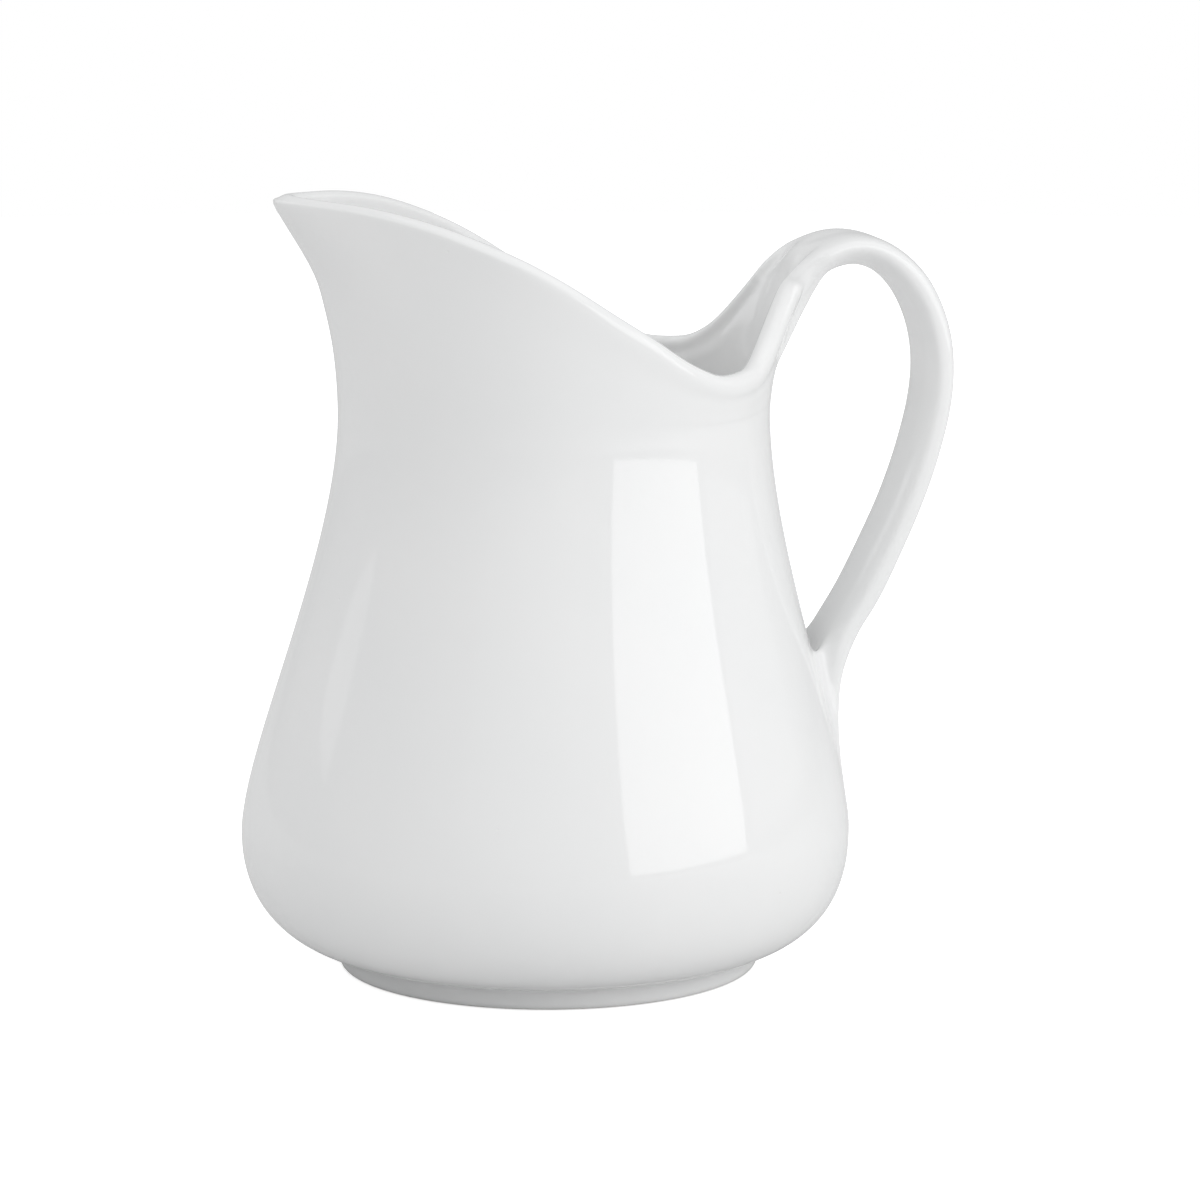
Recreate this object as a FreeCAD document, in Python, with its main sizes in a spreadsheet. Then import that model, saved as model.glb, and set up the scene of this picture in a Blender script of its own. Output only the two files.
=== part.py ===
# One-piece glazed porcelain milk pitcher: a low round belly on a foot ring, a waisted
# neck, and a rounded lip that climbs to a pouring spout at one side and runs out into
# a flat strap handle at the other.
#
# Frame: +Z up, the foot stands on Z = 0 about the origin, the spout points along -X
# and the handle along +X. Millimetres and degrees.

import FreeCAD, Part
import math
import os

import Sketcher

from FreeCAD import Vector

SIZES = [
    # alias, value, meaning
    ("foot_radius", 42.2, "outside radius of the foot ring where it stands"),
    ("foot_width", 3.4, "width of the foot ring where it stands"),
    ("foot_height", 4.0, "clearance under the floor"),
    ("foot_draft", 0.5, "how far the foot ring widens on its way up"),
    ("foot_edge", 0.9, "rounding of the two edges the ring stands on"),
    ("foot_seat", 1.5, "how far the foot ring runs up into the floor"),
    ("foot_cove", 3.2, "rounding between the foot ring and the belly"),
    ("belly_radius", 61.2, "widest radius of the belly"),
    ("belly_level", 27.0, "level of the widest radius"),
    ("belly_shift", -0.6, "place of the belly's middle along X"),
    ("belly_under", 13.5, "how flat the belly starts out from the foot"),
    ("belly_low", 12.5, "upright stretch of the belly below its widest radius"),
    ("belly_high", 16.4, "upright stretch of the belly above its widest radius"),
    ("waist_radius", 43.0, "narrowest radius of the neck"),
    ("waist_level", 112.0, "level of the narrowest radius"),
    ("waist_shift", 1.3, "place of the neck's middle along X"),
    ("waist_low", 27.7, "upright stretch of the neck below its narrowest radius"),
    ("wall", 3.6, "thickness of the wall and of the floor"),
    ("lip_radius", 2.3, "radius of the rounded lip"),
    ("lip_proud", 0.3, "how far the lip stands out of the wall"),
    ("lip_flare", 1.7, "how far the wall leans out all round"),
    ("lip_curl", 2.5, "how late the wall leans out, as a power of its height"),
    ("lip_low", 120.3, "level of the lip at its lowest"),
    ("lip_low_place", 29.5, "place along X of the lip's lowest point"),
    ("lip_middle", 136.3, "level of the lip above the axis"),
    ("spout_level", 154.0, "level of the lip at the tip of the spout"),
    ("spout_reach", 10.6, "how far the tip runs out past a round lip"),
    ("spout_pinch", 0.55, "share of a round lip's width taken off at the tip"),
    ("throat_level", 141.6, "level of the lip where the handle leaves it"),
    ("throat_reach", 4.5, "how far the lip runs out into the handle"),
    ("throat_start", 37.0, "angle from the handle at which the lip starts to climb"),
    ("throat_end", 6.0, "angle from the handle at which the lip stops climbing"),
    ("strap_width", 21.5, "width of the strap along the grip"),
    ("strap_root", 24.5, "width of the strap where it leaves the lip"),
    ("strap_thick", 5.8, "thickness of the strap along the grip"),
    ("crown_rise", 1.7, "how far the strap's middle climbs from the lip to its crown"),
    ("crown_reach", 11.3, "how far out of the lip the crown stands"),
    ("crown_round", 10.0, "level stretch of the strap past its crown"),
    ("grip_reach", 28.7, "how far out of the lip the strap's middle stands at the grip"),
    ("grip_level", 120.0, "level at which the strap is furthest out"),
    ("grip_high", 12.0, "upright stretch of the strap above the grip"),
    ("grip_low", 16.6, "upright stretch of the strap below the grip"),
    ("landing_level", 66.5, "level at which the strap comes down to the belly"),
    ("landing_out", 8.0, "how far the strap's middle stands out of the belly there"),
    ("landing_run", 12.0, "straight stretch of the strap above its landing"),
    ("tail_level", 36.0, "level at which the strap's tail dies into the belly"),
    ("tail_proud", 2.4, "how far the tail stands out of the belly at its top"),
    ("root_round", 3.0, "rounding between the strap and the wall at both ends"),
]

AROUND = 72              # meridians in the vessel's skin
UP = 15                  # steps up the outside of the wall
DOWN_TO = 4              # the inside leaves the wall's line at this step
OUTLINE_STEPS = 24       # steps along each stretch of the wall's outline
LIP_START = 1.55         # the wall ends this many lip radii below its top edge
LIP_BEARINGS = (-20, 20, 55, 90, 125, 160, 200)
SPOUT_POWER = 3          # how late the wall starts to run out round towards the spout
THROAT_POWER = 2         # how late the lip starts to run out round towards the handle
LIP_TIP_SLOPE = -0.06    # slope of the lip along X at the tip of the spout
LIP_FALL = 1.15          # slope of the lip above the axis, over its mean slope from there
FOOT_COVER = 0.4         # share of the foot ring's width that the belly starts inside it
FOOT_RISE = 1.3          # how far the belly climbs over its flat start
FLOOR_SHARES = (0.3, 0.55, 0.78, 1.0)
FLOOR_DRAW = 0.42        # how far the inside draws in on its way to the floor
CORE_TOP = 20.0          # how far the core stands above the spout
CORE_SHARES = (0.3, 0.65, 1.0)
STRAP_AROUND = 24        # points round the strap
STRAP_SQUARE = 0.7       # under 1 flattens the strap's faces
STRAP_STEPS = 5          # steps along each stretch of the strap
STRAP_SUNK = (7.0, 8.0, 7.5)    # start of the strap in the wall: how far in, how far down
                                # and its half thickness there
STRAP_ROOT = (           # the strap on its way to the crown: share of the way out, share
    (0.14, -0.53, 0.27, 1.5),   # of the rise, share of the narrowing from root to grip
    (0.41, 0.47, 0.60, 0.8),    # and how much the half thickness passes the grip's
    (0.69, 0.82, 0.60, 0.5),
)
ROOT_FACINGS = ((0.35, 0.94), (-0.2, 0.98))     # where its first sections face, in X and Z
CROWN_WIDER = 0.3        # how much the half width at the crown passes the grip's
CROWN_THICKER = 0.4      # how much the half thickness at the crown passes the grip's
LANDING_NARROWER = 0.9   # how much the half width at the landing falls short of the grip's
HEEL_SHARE = 0.25        # share of the way down the tail at which the strap meets the belly
HEEL_OUT = 2.9           # how far its middle stands out of the belly there
TAIL_START = 0.475       # share of that way at which the tail lies on the belly
TAIL_SHARES = (0.0, 0.55, 1.0)
TAIL_HALF = 2.3          # half thickness of the tail at its top
TAIL_TIP_HALF = 1.1      # half thickness of its tip
TAIL_NARROWER = 1.2      # how much the half width at its top falls short of the grip's
TAIL_TAPER = 2.3         # how much narrower each side of the tip is than the top
TAIL_SINK = 0.4          # how deep the tip's face lies in the belly
TAIL_POWER = 1.5         # how soon the tail sinks into the belly
SEAM_NEAR = 0.02         # how near to two skins the edge between them lies


def new_sheet(doc):
    """The driving sizes, one row each: name, value under that alias, meaning."""
    sheet = doc.addObject("Spreadsheet::Sheet", "sizes")
    for row, (name, value, meaning) in enumerate(SIZES, start=1):
        sheet.set("A%d" % row, name)
        sheet.set("B%d" % row, str(value))
        sheet.setAlias("B%d" % row, name)
        sheet.set("C%d" % row, meaning)
    doc.recompute()
    return sheet


# ---- curves ------------------------------------------------------------------------

def bezier(points, t):
    """The point at t on the Bezier curve of some control points of any dimension."""
    while len(points) > 1:
        points = [tuple(a + (b - a) * t for a, b in zip(p, q))
                  for p, q in zip(points, points[1:])]
    return points[0]


def hermite(a, b, t):
    """The height at t between two (place, height, slope) stations."""
    run = b[0] - a[0]
    s = (t - a[0]) / run
    rise = s * s * (3 - 2 * s)
    return (a[1] + (b[1] - a[1]) * rise
            + run * (a[2] * s * (1 - s) ** 2 - b[2] * s * s * (1 - s)))


def smooth(t):
    """0 to 1 with level ends, held at both."""
    t = min(max(t, 0.0), 1.0)
    return t * t * (3 - 2 * t)


def evenly(points, count):
    """count + 1 points at even distances along a polyline."""
    marks = [0.0]
    for a, b in zip(points, points[1:]):
        marks.append(marks[-1] + a.distanceToPoint(b))
    result = []
    at = 0
    for k in range(count + 1):
        goal = marks[-1] * k / count
        while at < len(points) - 2 and marks[at + 1] < goal:
            at += 1
        share = (goal - marks[at]) / (marks[at + 1] - marks[at])
        result.append(points[at] + (points[at + 1] - points[at]) * share)
    return result


def skin(rings, seams):
    """One smooth closed solid through rings of points, with a flat face at each end.

    Every ring has as many points, and the first and the last ring are flat. The skin is
    left and right faces that meet smoothly, parted at the rings whose numbers are seams."""
    steps = [0.0]
    for a, b in zip(rings, rings[1:]):
        chord = sum(p.distanceToPoint(q) for p, q in zip(a, b)) / len(a)
        steps.append(steps[-1] + chord)
    columns = []
    for i in range(len(rings[0])):
        rib = Part.BSplineCurve()
        rib.interpolate(Points=[ring[i] for ring in rings], Parameters=steps)
        columns.append(rib.getPoles())
    turns = [float(i) for i in range(len(columns) + 1)]
    net = []
    for poles in zip(*columns):
        hoop = Part.BSplineCurve()
        hoop.interpolate(Points=list(poles), PeriodicFlag=True, Parameters=turns)
        net.append(hoop.getPoles())
    surface = Part.BSplineSurface()
    surface.buildFromPolesMultsKnots(
        net, rib.getMultiplicities(), hoop.getMultiplicities(),
        rib.getKnots(), hoop.getKnots(), False, True, 3, 3)
    stops = [steps[k] for k in [0] + list(seams) + [-1]]
    halves = [turns[0], turns[len(columns) // 2], turns[-1]]
    faces = []
    for low, high in zip(stops, stops[1:]):
        for left, right in zip(halves, halves[1:]):
            patch = surface.copy()
            patch.segment(low, high, left, right)
            faces.append(patch.toShape())
    for end in (stops[0], stops[-1]):
        rim = [surface.uIso(end) for half in halves[1:]]
        for part, (left, right) in zip(rim, zip(halves, halves[1:])):
            part.segment(left, right)
        faces.append(Part.Face(Part.Wire([part.toShape() for part in rim])))
    shell = Part.Shell(faces)
    shell.sewShape()
    solid = Part.Solid(shell)
    if solid.Volume < 0:
        solid.reverse()
    return solid


# ---- the vessel --------------------------------------------------------------------

def throat_share(size, turn):
    """How much of its climb to the handle the lip has done, 0 to 1, at an angle from it."""
    start = math.radians(size("throat_start"))
    end = math.radians(size("throat_end"))
    return smooth((start - turn) / (start - end))


def lip_level(size, turn, place):
    """Level of the wall's top edge, by its place along X and its angle from the handle."""
    tip = (size("waist_shift") - size("waist_radius") - size("lip_flare")
           - size("spout_reach"), size("spout_level"), LIP_TIP_SLOPE)
    fall = LIP_FALL * (size("lip_low") - size("lip_middle")) / size("lip_low_place")
    middle = (0.0, size("lip_middle"), fall)
    low = (size("lip_low_place"), size("lip_low"), 0.0)
    if place < middle[0]:
        return hermite(tip, middle, place)
    if place < low[0]:
        return hermite(middle, low, place)
    climb = size("throat_level") - size("lip_low")
    return size("lip_low") + climb * throat_share(size, turn)


def wall_outside(size, angle):
    """Points up the outside of the wall, from the foot to the lip, at one angle.

    The angle runs from the handle round to the spout. Up to the waist the wall is
    round; above it each point moves out to the lip's own plan."""
    foot = (size("foot_radius") - FOOT_COVER * size("foot_width"), size("foot_height"), 0.0)
    widest = (size("belly_radius"), size("belly_level"), size("belly_shift"))
    waist = (size("waist_radius"), size("waist_level"), size("waist_shift"))
    below = [foot, (foot[0] + size("belly_under"), foot[1] + FOOT_RISE, foot[2]),
             (widest[0], widest[1] - size("belly_low"), widest[2]), widest]
    above = [widest, (widest[0], widest[1] + size("belly_high"), widest[2]),
             (waist[0], waist[1] - size("waist_low"), waist[2]), waist]
    across = math.cos(angle)
    aside = math.sin(angle)
    points = []
    for outline in (below, above):
        for k in range(OUTLINE_STEPS):
            radius, level, middle = bezier(outline, k / OUTLINE_STEPS)
            points.append(Vector(middle + radius * across, radius * aside, level))
    front = max(0.0, -across) ** SPOUT_POWER
    turn = min(angle, 2 * math.pi - angle)
    back = throat_share(size, turn) ** THROAT_POWER
    lean = Vector(size("lip_flare") * across - size("spout_reach") * front
                  + size("throat_reach") * back,
                  size("lip_flare") * aside
                  - size("waist_radius") * aside * size("spout_pinch") * front, 0.0)
    base = Vector(waist[2] + waist[0] * across, waist[0] * aside, waist[1])
    top = lip_level(size, turn, (base + lean).x)
    for k in range(OUTLINE_STEPS + 1):
        share = k / OUTLINE_STEPS
        out = lean * share ** size("lip_curl")
        points.append(base + out + Vector(0, 0, (top - waist[1]) * share))
    return points


def wall_rings(size, depth):
    """Rings of points up the outside of the wall and over the lip, and rings up the
    wall at a depth below its outside."""
    angles = [2 * math.pi * i / AROUND for i in range(AROUND)]
    full = [wall_outside(size, angle) for angle in angles]
    bare = LIP_START * size("lip_radius")
    outer = []
    heads = []
    for i, line in enumerate(full):
        along = full[(i + 1) % AROUND][-1] - full[i - 1][-1]
        rise = line[-1] - line[-3]
        out = along.cross(rise).normalize()
        rise = out.cross(along).normalize()
        centre = line[-1] - out * (size("lip_radius") - size("lip_proud"))
        head = []
        for bearing in LIP_BEARINGS:
            turn = math.radians(bearing)
            head.append(centre + (out * math.cos(turn) + rise * math.sin(turn))
                        * size("lip_radius"))
        heads.append(head)
        kept = [p for p in line[:-1] if p.distanceToPoint(line[-1]) > bare]
        outer.append(evenly(kept, UP))
    inner = []
    for i in range(AROUND):
        column = []
        for k in range(DOWN_TO, UP + 1):
            up = outer[i][min(k + 1, UP)] - outer[i][k - 1]
            side = outer[(i + 1) % AROUND][k] - outer[i - 1][k]
            column.append(outer[i][k] + up.cross(side).normalize() * depth)
        inner.append(column)
    outside = [list(ring) for ring in zip(*outer)]
    lip = [list(ring) for ring in zip(*heads)]
    inside = [list(ring) for ring in zip(*inner)][::-1]
    return outside, lip, inside


def floor_rings(floor, last):
    """Rings that round the inside off into a flat floor at some level."""
    rings = []
    for share in FLOOR_SHARES:
        drop = 1 - (1 - share) ** 2
        keep = 1 - FLOOR_DRAW * share
        rings.append([Vector(p.x * keep, p.y * keep, p.z + (floor - p.z) * drop)
                      for p in last])
    return rings


def vessel(size):
    """The thrown body: wall, lip, inside and floor in one smooth skin."""
    outside, lip, inside = wall_rings(size, size("wall"))
    floor = size("foot_height") + size("wall")
    rings = outside + lip + inside + floor_rings(floor, inside[-1])
    first = len(outside)
    last = first + len(lip)
    low = len(rings) - len(FLOOR_SHARES) - 1
    return skin(rings, [UP // 3, 2 * UP // 3, first - 1, last, last + UP // 3, low])


def core(size):
    """All that lies within the middle of the wall, carried straight up past the lip:
    it trims what joins the wall from outside."""
    outside, lip, inside = wall_rings(size, size("wall") / 2)
    floor = size("foot_height") + size("wall") / 2
    crest = [(p + q) * 0.5 for p, q in zip(lip[0], lip[-1])]
    rings = floor_rings(floor, inside[-1])[::-1] + inside[::-1] + [crest]
    top = size("spout_level") + CORE_TOP
    for share in CORE_SHARES:
        rings.append([Vector(p.x, p.y, p.z + (top - p.z) * share) for p in crest])
    low = len(FLOOR_SHARES)
    return skin(rings, [low, low + UP // 2, len(rings) - len(CORE_SHARES) - 1])


# ---- the foot ----------------------------------------------------------------------

def foot(doc, size):
    """The foot ring, turned from a sketch of its section."""
    body = doc.addObject("PartDesign::Body", "foot")
    sketch = body.newObject("Sketcher::SketchObject", "foot_section")
    plane = [f for f in body.Origin.OriginFeatures if f.Role == "XZ_Plane"][0]
    sketch.AttachmentSupport = [(plane, "")]
    sketch.MapMode = "FlatFace"
    outside = size("foot_radius")
    inside = outside - size("foot_width")
    draft = size("foot_draft")
    top = size("foot_height") + size("foot_seat")
    corners = [Vector(inside, 0, 0), Vector(outside, 0, 0),
               Vector(outside + draft, top, 0), Vector(inside - draft, top, 0)]
    for a, b in zip(corners, corners[1:] + corners[:1]):
        sketch.addGeometry(Part.LineSegment(a, b))
    for i in range(4):
        sketch.addConstraint(Sketcher.Constraint("Coincident", i, 2, (i + 1) % 4, 1))
    sketch.addConstraint(Sketcher.Constraint("Horizontal", 0))
    sketch.addConstraint(Sketcher.Constraint("Horizontal", 2))
    sketch.addConstraint(Sketcher.Constraint("PointOnObject", 0, 1, -1))
    for name, kind, point, expression in (
            ("outside", "DistanceX", 2, "sizes.foot_radius"),
            ("inside", "DistanceX", 1, "sizes.foot_radius - sizes.foot_width")):
        sketch.addConstraint(Sketcher.Constraint(kind, -1, 1, 0, point, outside))
        sketch.renameConstraint(sketch.ConstraintCount - 1, name)
        sketch.setExpression("Constraints." + name, expression)
    for name, kind, edge, expression in (
            ("outer_draft", "DistanceX", 1, "sizes.foot_draft"),
            ("height", "DistanceY", 1, "sizes.foot_height + sizes.foot_seat"),
            ("inner_draft", "DistanceX", 3, "sizes.foot_draft")):
        sketch.addConstraint(Sketcher.Constraint(kind, edge, 1, edge, 2, draft))
        sketch.renameConstraint(sketch.ConstraintCount - 1, name)
        sketch.setExpression("Constraints." + name, expression)
    ring = body.newObject("PartDesign::Revolution", "foot_ring")
    ring.Profile = sketch
    ring.ReferenceAxis = (sketch, ["V_Axis"])
    ring.Angle = 360
    doc.recompute()
    standing = [e for e in range(1, len(ring.Shape.Edges) + 1)
                if ring.Shape.Edges[e - 1].BoundBox.ZMax < 0.01
                and ring.Shape.Edges[e - 1].BoundBox.XLength > 1]
    edges = body.newObject("PartDesign::Fillet", "foot_edges")
    edges.Base = (ring, ["Edge%d" % e for e in standing])
    edges.setExpression("Radius", "sizes.foot_edge")
    body.Tip = edges
    return body


# ---- the handle --------------------------------------------------------------------

def strap_section(middle, outward, wide, thick):
    """A ring of points round the strap: a flat oval across Y and outward."""
    ring = []
    for i in range(STRAP_AROUND):
        turn = 2 * math.pi * i / STRAP_AROUND
        aside = math.copysign(abs(math.cos(turn)) ** STRAP_SQUARE, math.cos(turn))
        out = math.copysign(abs(math.sin(turn)) ** STRAP_SQUARE, math.sin(turn))
        ring.append(middle + Vector(0, aside * wide, 0) + outward * (out * thick))
    return ring


def belly_place(size, level):
    """Place along X of the wall's outside below the handle at some level."""
    line = wall_outside(size, 0.0)
    for low, high in zip(line, line[1:]):
        if low.z <= level <= high.z:
            return low.x + (high.x - low.x) * (level - low.z) / (high.z - low.z)
    raise ValueError("the wall has no such level")


def strap_stations(size):
    """The strap from the lip to the end of its tail, as places along X, levels, half
    widths and half thicknesses of its section."""
    thick = size("strap_thick") / 2
    wide = size("strap_width") / 2
    root = size("strap_root") / 2
    lip = (size("waist_shift") + size("waist_radius") + size("lip_flare")
           + size("throat_reach"))
    top = size("throat_level")
    crown = (lip + size("crown_reach"), top + size("crown_rise"), wide + CROWN_WIDER,
             thick + CROWN_THICKER)
    grip = (lip + size("grip_reach"), size("grip_level"), wide, thick)
    level = size("landing_level")
    landing = (belly_place(size, level) + size("landing_out"), level,
               wide - LANDING_NARROWER, thick)
    slope = Vector(grip[0] - landing[0], 0, grip[1] - landing[1] - size("grip_low"))
    run = slope.normalize() * size("landing_run")
    over = [crown, (crown[0] + size("crown_round"),) + crown[1:],
            (grip[0], grip[1] + size("grip_high"), wide, thick), grip]
    down = [grip, (grip[0], grip[1] - size("grip_low"), wide, thick),
            (landing[0] + run.x, landing[1] + run.z) + landing[2:], landing]
    inward, drop, half = STRAP_SUNK
    stations = [(lip - inward, top - drop, root, half)]
    for out, rise, narrow, thicker in STRAP_ROOT:
        stations.append((lip + out * size("crown_reach"), top + rise * size("crown_rise"),
                         root + (wide - root) * narrow, thick + thicker))
    for stretch in (over, down):
        for k in range(STRAP_STEPS):
            stations.append(bezier(stretch, k / STRAP_STEPS))
    stations.append(landing)
    fall = size("tail_level") - level
    heel = level + fall * HEEL_SHARE
    stations.append((belly_place(size, heel) + HEEL_OUT, heel, landing[2], thick))
    for share in TAIL_SHARES:
        height = level + fall * (TAIL_START + (1 - TAIL_START) * share)
        half = TAIL_HALF + (TAIL_TIP_HALF - TAIL_HALF) * share
        proud = size("tail_proud") * (1 - share) ** TAIL_POWER - TAIL_SINK * share
        stations.append((belly_place(size, height) + proud - half, height,
                         wide - TAIL_NARROWER - TAIL_TAPER * share, half))
    return stations


def handle(size):
    """The strap, a flattened section carried out of the lip, over the crown, down the
    grip and into the belly, where it dies away as a tail."""
    stations = strap_stations(size)
    line = Part.BSplineCurve()
    middles = [Vector(x, 0, level) for x, level, wide, thick in stations]
    line.interpolate(Points=middles)
    rings = []
    for number, (middle, station) in enumerate(zip(middles, stations)):
        heading = line.tangent(line.parameter(middle))[0]
        outward = Vector(0, -1, 0).cross(heading)
        if number < len(ROOT_FACINGS):
            outward = Vector(ROOT_FACINGS[number][0], 0, ROOT_FACINGS[number][1])
        rings.append(strap_section(middle, outward.normalize(), station[2], station[3]))
    first = 1 + len(STRAP_ROOT)
    return skin(rings, [first, first + STRAP_STEPS, first + 2 * STRAP_STEPS])


def root_edges(whole, wall, strap):
    """Numbers of the edges where the strap leaves the wall: they lie on both skins."""
    numbers = []
    for number, edge in enumerate(whole.Edges, start=1):
        middle = Part.Vertex(edge.valueAt((edge.FirstParameter + edge.LastParameter) / 2))
        gaps = [shape.Shells[0].distToShape(middle)[0] for shape in (wall, strap)]
        if max(gaps) < SEAM_NEAR:
            numbers.append(number)
    return numbers


def cove_edges(whole, size):
    """Numbers of the edges where the foot ring meets the belly from outside."""
    numbers = []
    for number, edge in enumerate(whole.Edges, start=1):
        middle = edge.valueAt((edge.FirstParameter + edge.LastParameter) / 2)
        low = size("foot_edge") < middle.z < size("belly_level") / 2
        round_foot = math.hypot(middle.x, middle.y) > size("foot_radius")
        if low and round_foot and edge.Length > size("foot_radius"):
            numbers.append(number)
    return numbers


def check(doc):
    """Stops if an object failed to build or a shape is empty or not valid."""
    for thing in doc.Objects:
        if "Invalid" in thing.State or "Error" in thing.State:
            raise RuntimeError("%s did not build: %s" % (thing.Label, thing.State))
    for thing in doc.findObjects("Part::Feature"):
        if thing.Shape.isNull() or not thing.Shape.isValid():
            raise RuntimeError("%s has no valid shape" % thing.Label)


def main():
    doc = FreeCAD.newDocument("pitcher")
    sheet = new_sheet(doc)

    def size(name):
        return float(sheet.get(name))

    body = doc.addObject("Part::Feature", "vessel")
    body.Shape = vessel(size)
    strap = doc.addObject("Part::Feature", "strap")
    strap.Shape = handle(size)
    room = doc.addObject("Part::Feature", "core")
    room.Shape = core(size)
    trimmed = doc.addObject("Part::Cut", "strap_trimmed")
    trimmed.Base = strap
    trimmed.Tool = room
    joined = doc.addObject("Part::Fuse", "vessel_and_strap")
    joined.Base = body
    joined.Tool = trimmed
    doc.recompute()
    rounded = doc.addObject("Part::Fillet", "rounded_roots")
    rounded.Base = joined
    radius = size("root_round")
    edges = root_edges(joined.Shape, body.Shape, strap.Shape)
    rounded.Edges = [(edge, radius, radius) for edge in edges]
    stood = doc.addObject("Part::Fuse", "pitcher_on_foot")
    stood.Base = rounded
    stood.Tool = foot(doc, size)
    doc.recompute()
    whole = doc.addObject("Part::Fillet", "pitcher")
    whole.Base = stood
    cove = size("foot_cove")
    whole.Edges = [(edge, cove, cove) for edge in cove_edges(stood.Shape, size)]
    whole.Label = "pitcher"
    doc.recompute()
    check(doc)
    os.makedirs("parts", exist_ok=True)
    whole.Shape.exportStep("parts/pitcher.step")


main()
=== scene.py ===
import math

import bmesh
import bpy
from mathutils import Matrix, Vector


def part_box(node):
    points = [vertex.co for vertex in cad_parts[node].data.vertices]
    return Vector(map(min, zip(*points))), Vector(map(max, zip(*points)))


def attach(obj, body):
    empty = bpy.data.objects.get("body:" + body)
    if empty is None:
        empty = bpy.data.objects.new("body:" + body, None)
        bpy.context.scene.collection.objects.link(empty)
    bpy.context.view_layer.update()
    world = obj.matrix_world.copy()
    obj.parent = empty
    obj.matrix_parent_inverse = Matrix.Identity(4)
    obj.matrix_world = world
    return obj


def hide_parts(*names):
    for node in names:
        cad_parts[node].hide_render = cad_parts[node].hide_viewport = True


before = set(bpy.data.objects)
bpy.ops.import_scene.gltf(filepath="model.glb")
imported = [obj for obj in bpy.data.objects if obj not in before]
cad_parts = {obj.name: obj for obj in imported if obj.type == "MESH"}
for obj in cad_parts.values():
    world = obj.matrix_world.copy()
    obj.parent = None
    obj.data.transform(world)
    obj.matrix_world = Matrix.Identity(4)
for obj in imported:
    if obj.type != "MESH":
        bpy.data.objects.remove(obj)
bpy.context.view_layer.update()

bl_info = {
    "name": "Porcelain Milk Pitcher",
    "version": (1, 0, 0),
    "blender": (4, 5, 0),
    "location": "3D View > Sidebar > Pitcher",
    "description": "Makes a glazed porcelain milk pitcher with a strap handle, and its stage",
    "category": "Add Mesh",
}

NODE = "pitcher"
BODY = "root"
LOW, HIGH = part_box(NODE)
MM = 0.001


# ---- sizes and finishes ------------------------------------------------------------

def length(name, default, description):
    """A size in millimetres, kept in metres."""
    return bpy.props.FloatProperty(
        name=name, description=description, default=default * MM, unit="LENGTH", precision=5)


class PitcherSizes(bpy.types.PropertyGroup):
    foot_radius: length("Foot radius", 42.2, "Outside radius of the foot ring where it stands")
    foot_width: length("Foot width", 3.4, "Width of the foot ring where it stands")
    foot_height: length("Foot height", 4.0, "Clearance under the floor")
    belly_radius: length("Belly radius", (HIGH.y - LOW.y) / 2 / MM, "Widest radius of the belly")
    belly_level: length("Belly level", 27.0, "Level of the widest radius")
    belly_shift: length("Belly shift", -0.6, "Place of the belly's middle along X")
    waist_radius: length("Waist radius", 43.0, "Narrowest radius of the neck")
    waist_level: length("Waist level", 112.0, "Level of the narrowest radius")
    waist_shift: length("Waist shift", 1.3, "Place of the neck's middle along X")
    wall: length("Wall", 3.6, "Thickness of the wall and of the floor")
    lip_radius: length("Lip radius", 2.3, "Radius of the rounded lip")
    lip_flare: length("Lip flare", 1.7, "How far the wall leans out all round")
    spout_level: length("Spout level", 154.0, "Level of the lip at the tip of the spout")
    lip_low: length("Lip low", 120.3, "Level of the lip at its lowest")
    spout_reach: length("Spout reach", 10.6, "How far the tip runs out past a round lip")


class PitcherGlaze(bpy.types.PropertyGroup):
    colour: bpy.props.FloatVectorProperty(
        name="Glaze colour", description="Colour of the porcelain under its clear glaze",
        subtype="COLOR", size=3, min=0, max=1, default=(0.885, 0.885, 0.882))
    pooled: bpy.props.FloatVectorProperty(
        name="Pooled colour", description="Colour where the glaze lies thicker",
        subtype="COLOR", size=3, min=0, max=1, default=(0.862, 0.866, 0.865))
    bare: bpy.props.FloatVectorProperty(
        name="Bare colour", description="Colour of the unglazed foot where it stands",
        subtype="COLOR", size=3, min=0, max=1, default=(0.80, 0.79, 0.765))
    gloss: bpy.props.FloatProperty(
        name="Glaze roughness", description="Roughness of the clear glaze",
        subtype="FACTOR", min=0, max=1, default=0.06)
    waviness: bpy.props.FloatProperty(
        name="Waviness", description="Depth of the glaze's slow waves",
        unit="LENGTH", precision=6, default=0.12 * MM)


# ---- rules written with nodes ------------------------------------------------------

class Term:
    """A number inside a node tree, so that a rule reads as plain arithmetic."""

    def __init__(self, tree, source):
        self.tree, self.source = tree, source

    def made(self, operation, *others):
        node = self.tree.nodes.new("ShaderNodeMath")
        node.operation = operation
        for socket, value in zip(node.inputs, (self, *others)):
            plug(self.tree, value, socket)
        return Term(self.tree, node.outputs[0])

    def __add__(self, other):
        return self.made("ADD", other)

    def __sub__(self, other):
        return self.made("SUBTRACT", other)

    def __mul__(self, other):
        return self.made("MULTIPLY", other)

    def __truediv__(self, other):
        return self.made("DIVIDE", other)

    def __pow__(self, other):
        return self.made("POWER", other)


def plug(tree, value, socket):
    """Gives a socket a term, another node's socket or a plain value."""
    if isinstance(value, Term):
        value = value.source
    if isinstance(value, bpy.types.NodeSocket):
        tree.links.new(value, socket)
    else:
        socket.default_value = value


def add_node(tree, kind, plugs=None, **settings):
    """A node with its settings made and its inputs plugged, by name or number."""
    node = tree.nodes.new(kind)
    for name, value in settings.items():
        setattr(node, name, value)
    for name, value in (plugs or {}).items():
        plug(tree, value, node.inputs[name])
    return node


def vector_of(tree, x, y, z):
    return add_node(tree, "ShaderNodeCombineXYZ", {0: x, 1: y, 2: z}).outputs[0]


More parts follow.
